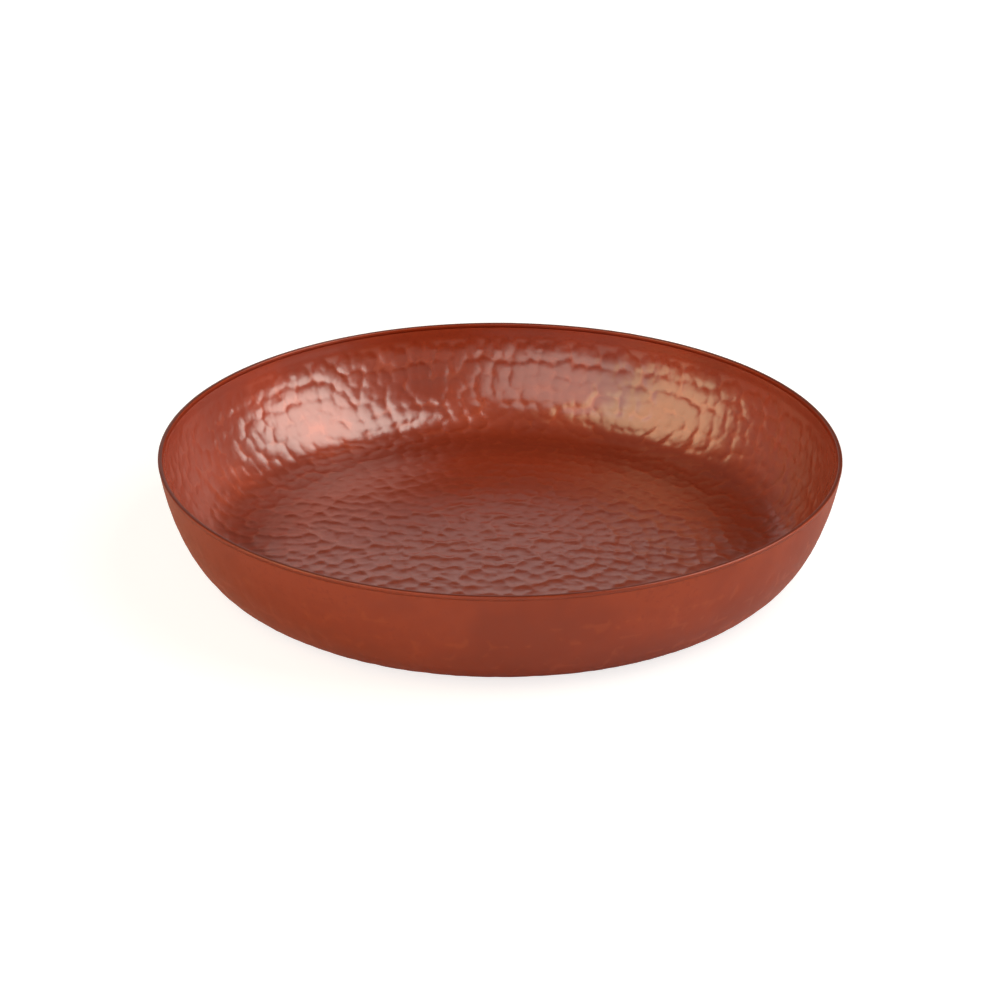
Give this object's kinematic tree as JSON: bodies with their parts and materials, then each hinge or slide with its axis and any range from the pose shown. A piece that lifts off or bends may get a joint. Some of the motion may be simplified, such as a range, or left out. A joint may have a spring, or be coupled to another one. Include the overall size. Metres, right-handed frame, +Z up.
{
  "type": "hammered copper tray",
  "caption": "Round deep tray raised from hammered copper sheet, with a flat floor, a rising curved wall and a soldered edge ring, for serving or display.",
  "frame": {"origin": "middle of the flat underside, on the surface that the tray stands on", "axes": "+Z up through the open side; X and Y lie in the underside, and the tray is round, so either may face any way"},
  "size_m": [0.3, 0.3, 0.05],
  "materials": {
    "hammered_copper": "hammered copper, darkened and clear lacquered, satin",
    "plain_copper": "filed and rubbed copper, clear lacquered, satin"
  },
  "bodies": {
    "root": {"tray_dish": "hammered_copper", "edge_ring": "plain_copper"}
  },
  "joints": []
}
